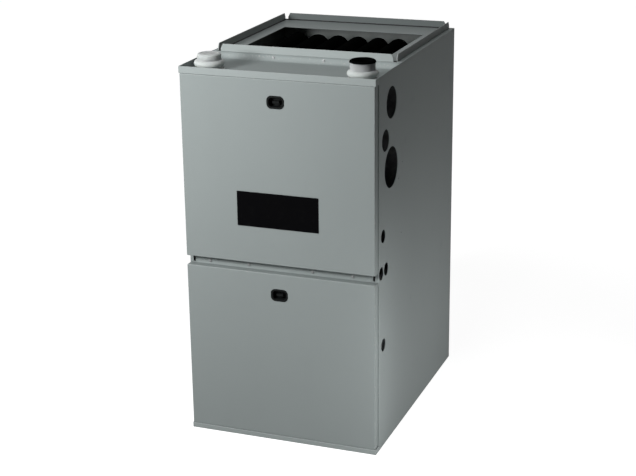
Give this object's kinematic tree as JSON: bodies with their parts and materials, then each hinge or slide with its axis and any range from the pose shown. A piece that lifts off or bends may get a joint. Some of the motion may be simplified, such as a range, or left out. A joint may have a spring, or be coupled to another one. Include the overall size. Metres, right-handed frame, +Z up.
{
  "type": "forced air gas furnace",
  "caption": "Upright sheet-metal forced air gas furnace with two lift-off front doors, a flanged supply opening on top, pipe collars and side entry holes.",
  "frame": {"origin": "centre of the cabinet's footprint, on the floor", "axes": "+X to the right seen from the front, +Y to the back, +Z up"},
  "size_m": [0.5334, 0.7112, 1.048],
  "materials": {
    "casing_paint": "light grey baked enamel, satin",
    "galvanised": "galvanised sheet, spangled",
    "aluminised": "aluminised steel, dulled by heat",
    "black_oxide": "black heat-darkened tube",
    "insulation": "foil-faced glass wool",
    "black_plastic": "moulded, fine grain",
    "white_plastic": "moulded white plastic",
    "badge_black": "gloss plate with pale edge and amber stripe",
    "vent_black": "moulded pipe",
    "rubber": "soft black rubber",
    "fin_aluminium": "thin plate fins",
    "stainless": "drawn tube",
    "header_plastic": "moulded, ribbed",
    "gas_pipe": "black iron pipe",
    "valve_casting": "die casting, matt",
    "red_plastic": "moulded red plastic",
    "ceramic_white": "glazed ceramic",
    "motor_black": "black enamel, satin",
    "trap_plastic": "moulded, translucent white",
    "board_green": "printed circuit board",
    "transformer_steel": "laminations and windings",
    "zinc": "zinc plated"
  },
  "bodies": {
    "cabinet": {"left_side_panel": "casing_paint", "right_side_panel": "casing_paint", "back_panel": "casing_paint", "base_pan": "casing_paint", "bottom_rail": "casing_paint", "top_rail": "casing_paint", "mid_rail": "casing_paint", "vent_plate": "casing_paint", "supply_ledge": "casing_paint", "plenum_flanges": "casing_paint", "vestibule_panel": "galvanised", "blower_deck": "galvanised", "casing_liner": "insulation", "vent_collar": "white_plastic", "intake_collar": "white_plastic", "vent_pipe": "vent_black", "vent_coupling": "rubber", "heat_exchanger_tubes": "black_oxide", "rear_header": "aluminised", "secondary_fins": "fin_aluminium", "secondary_tubes": "stainless", "cold_header": "header_plastic", "burner_box": "galvanised", "burner_rack": "aluminised", "gas_manifold": "gas_pipe", "gas_valve": "valve_casting", "igniter_and_flame_sensor": "ceramic_white", "inducer_housing": "header_plastic", "inducer_motor": "motor_black", "pressure_switches": "zinc", "hoses": "rubber", "condensate_trap": "trap_plastic", "rollout_switch": "ceramic_white", "control_bracket": "galvanised", "control_board": "board_green", "transformer": "transformer_steel", "junction_box": "galvanised", "door_switch": "black_plastic", "blower_housing": "galvanised", "blower_housing_sides": "galvanised", "blower_motor": "motor_black", "blower_mounts": "galvanised", "wiring_harness": "rubber", "casing_screws": "zinc"},
    "upper_door": {"upper_door": "casing_paint", "upper_latch_cup": "black_plastic", "badge_plate": "badge_black"},
    "upper_latch": {"upper_latch_knob": "black_plastic"},
    "lower_door": {"lower_door": "casing_paint", "lower_latch_cup": "black_plastic"},
    "lower_latch": {"lower_latch_knob": "black_plastic"},
    "intake_plug": {"intake_plug": "white_plastic"},
    "gas_valve_knob": {"gas_valve_knob": "red_plastic"},
    "rollout_reset": {"rollout_reset_button": "red_plastic"},
    "inducer_wheel": {"inducer_wheel": "header_plastic"},
    "switch_plunger": {"door_switch_plunger": "white_plastic"},
    "blower_wheel": {"blower_wheel": "galvanised", "blower_wheel_rings": "galvanised", "blower_blades": "galvanised", "blower_shaft": "stainless"}
  },
  "joints": [
    {"name": "upper_door_lift_off", "type": "slide", "parent": "cabinet", "child": "upper_door", "axis": [0, -1, 0], "range_m": [0, 0.25]},
    {"name": "upper_latch_turn", "type": "hinge", "parent": "upper_door", "child": "upper_latch", "pos_m": [0, -0.3546, 0.9395], "axis": [0, -1, 0], "range_deg": [0, 90]},
    {"name": "lower_door_lift_off", "type": "slide", "parent": "cabinet", "child": "lower_door", "axis": [0, -1, 0], "range_m": [0, 0.25]},
    {"name": "lower_latch_turn", "type": "hinge", "parent": "lower_door", "child": "lower_latch", "pos_m": [0, -0.3546, 0.421], "axis": [0, -1, 0], "range_deg": [0, 90]},
    {"name": "intake_plug_pull", "type": "slide", "parent": "cabinet", "child": "intake_plug", "axis": [0, 0, 1], "range_m": [0, 0.06]},
    {"name": "gas_valve_turn", "type": "hinge", "parent": "cabinet", "child": "gas_valve_knob", "pos_m": [-0.1877, -0.3, 0.866], "axis": [0, -1, 0], "range_deg": [0, 90]},
    {"name": "rollout_reset_press", "type": "slide", "parent": "cabinet", "child": "rollout_reset", "axis": [0, 1, 0], "range_m": [0, 0.002], "stiffness_N_per_m": 200, "springref_m": -0.001},
    {"name": "inducer_spin", "type": "hinge", "parent": "cabinet", "child": "inducer_wheel", "pos_m": [0.06, -0.2008, 0.7], "axis": [0, -1, 0], "continuous": true},
    {"name": "door_switch_press", "type": "slide", "parent": "cabinet", "child": "switch_plunger", "axis": [0, 1, 0], "range_m": [0, 0.004], "stiffness_N_per_m": 200, "springref_m": -0.001},
    {"name": "blower_spin", "type": "hinge", "parent": "cabinet", "child": "blower_wheel", "pos_m": [0, 0.0604, 0.24], "axis": [1, 0, 0], "continuous": true}
  ]
}
